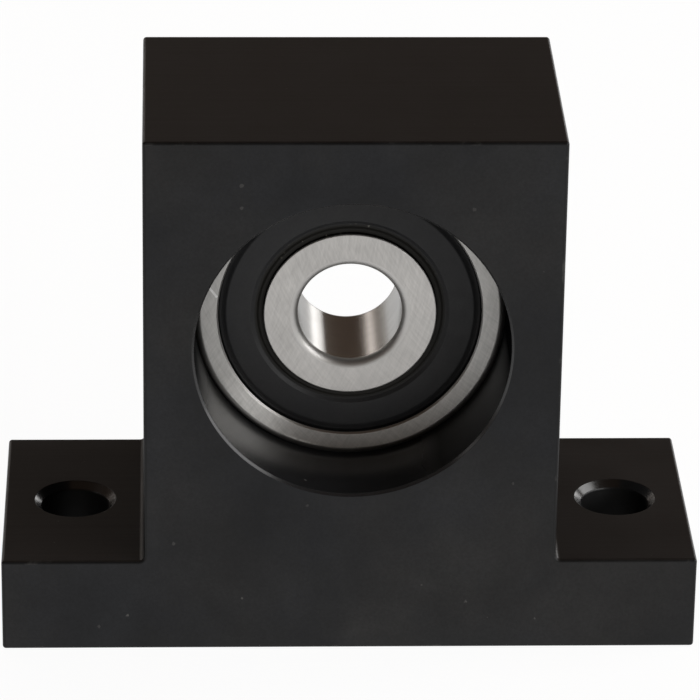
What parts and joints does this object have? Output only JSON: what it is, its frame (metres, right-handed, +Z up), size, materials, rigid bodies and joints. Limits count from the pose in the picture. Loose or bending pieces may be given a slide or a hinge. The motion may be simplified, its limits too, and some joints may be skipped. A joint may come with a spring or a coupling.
{
  "type": "ball screw end support",
  "caption": "Black inverted-T bearing housing with bolted feet and a recessed sealed ball bearing that carries the plain end journal of a ball screw.",
  "frame": {"origin": "centre of the footprint, on the mounting plane under the feet", "axes": "+X across the two feet, +Y along the bearing axis from the front (recess side) to the back, +Z up"},
  "size_m": [0.067, 0.027, 0.053],
  "materials": {
    "black_housing": "matte black oxide on machined steel",
    "ring_steel": "ground bearing steel",
    "ball_steel": "polished",
    "cage_steel": "pressed strip, dull",
    "seal_rubber": "moulded, satin"
  },
  "bodies": {
    "housing": {"housing": "black_housing", "outer_ring": "ring_steel", "front_seal": "seal_rubber", "rear_seal": "seal_rubber"},
    "inner_ring": {"inner_ring": "ring_steel"},
    "cage": {"cage_front_half": "cage_steel", "cage_rear_half": "cage_steel", "rivet_1": "cage_steel", "rivet_2": "cage_steel", "rivet_3": "cage_steel", "rivet_4": "cage_steel", "rivet_5": "cage_steel", "rivet_6": "cage_steel", "rivet_7": "cage_steel", "rivet_8": "cage_steel"},
    "ball_1": {"ball_1": "ball_steel"},
    "ball_2": {"ball_2": "ball_steel"},
    "ball_3": {"ball_3": "ball_steel"},
    "ball_4": {"ball_4": "ball_steel"},
    "ball_5": {"ball_5": "ball_steel"},
    "ball_6": {"ball_6": "ball_steel"},
    "ball_7": {"ball_7": "ball_steel"},
    "ball_8": {"ball_8": "ball_steel"}
  },
  "joints": [
    {"name": "inner_ring_spin", "type": "hinge", "parent": "housing", "child": "inner_ring", "pos_m": [0, -0.0003, 0.0316], "axis": [0, 1, 0], "continuous": true},
    {"name": "cage_spin", "type": "hinge", "parent": "housing", "child": "cage", "pos_m": [0, -0.0003, 0.0316], "axis": [0, 1, 0], "continuous": true},
    {"name": "ball_1_spin", "type": "hinge", "parent": "cage", "child": "ball_1", "pos_m": [0, -0.0003, 0.0416], "axis": [0, 1, 0], "continuous": true},
    {"name": "ball_2_spin", "type": "hinge", "parent": "cage", "child": "ball_2", "pos_m": [-0.00707, -0.0003, 0.03867], "axis": [0, 1, 0], "continuous": true},
    {"name": "ball_3_spin", "type": "hinge", "parent": "cage", "child": "ball_3", "pos_m": [-0.01, -0.0003, 0.0316], "axis": [0, 1, 0], "continuous": true},
    {"name": "ball_4_spin", "type": "hinge", "parent": "cage", "child": "ball_4", "pos_m": [-0.00707, -0.0003, 0.02453], "axis": [0, 1, 0], "continuous": true},
    {"name": "ball_5_spin", "type": "hinge", "parent": "cage", "child": "ball_5", "pos_m": [0, -0.0003, 0.0216], "axis": [0, 1, 0], "continuous": true},
    {"name": "ball_6_spin", "type": "hinge", "parent": "cage", "child": "ball_6", "pos_m": [0.00707, -0.0003, 0.02453], "axis": [0, 1, 0], "continuous": true},
    {"name": "ball_7_spin", "type": "hinge", "parent": "cage", "child": "ball_7", "pos_m": [0.01, -0.0003, 0.0316], "axis": [0, 1, 0], "continuous": true},
    {"name": "ball_8_spin", "type": "hinge", "parent": "cage", "child": "ball_8", "pos_m": [0.00707, -0.0003, 0.03867], "axis": [0, 1, 0], "continuous": true}
  ],
  "couplings": [
    {"joint": "cage_spin", "follows": "inner_ring_spin", "ratio": 0.38095},
    {"joint": "ball_1_spin", "follows": "inner_ring_spin", "ratio": -1.9809},
    {"joint": "ball_2_spin", "follows": "inner_ring_spin", "ratio": -1.9809},
    {"joint": "ball_3_spin", "follows": "inner_ring_spin", "ratio": -1.9809},
    {"joint": "ball_4_spin", "follows": "inner_ring_spin", "ratio": -1.9809},
    {"joint": "ball_5_spin", "follows": "inner_ring_spin", "ratio": -1.9809},
    {"joint": "ball_6_spin", "follows": "inner_ring_spin", "ratio": -1.9809},
    {"joint": "ball_7_spin", "follows": "inner_ring_spin", "ratio": -1.9809},
    {"joint": "ball_8_spin", "follows": "inner_ring_spin", "ratio": -1.9809}
  ]
}
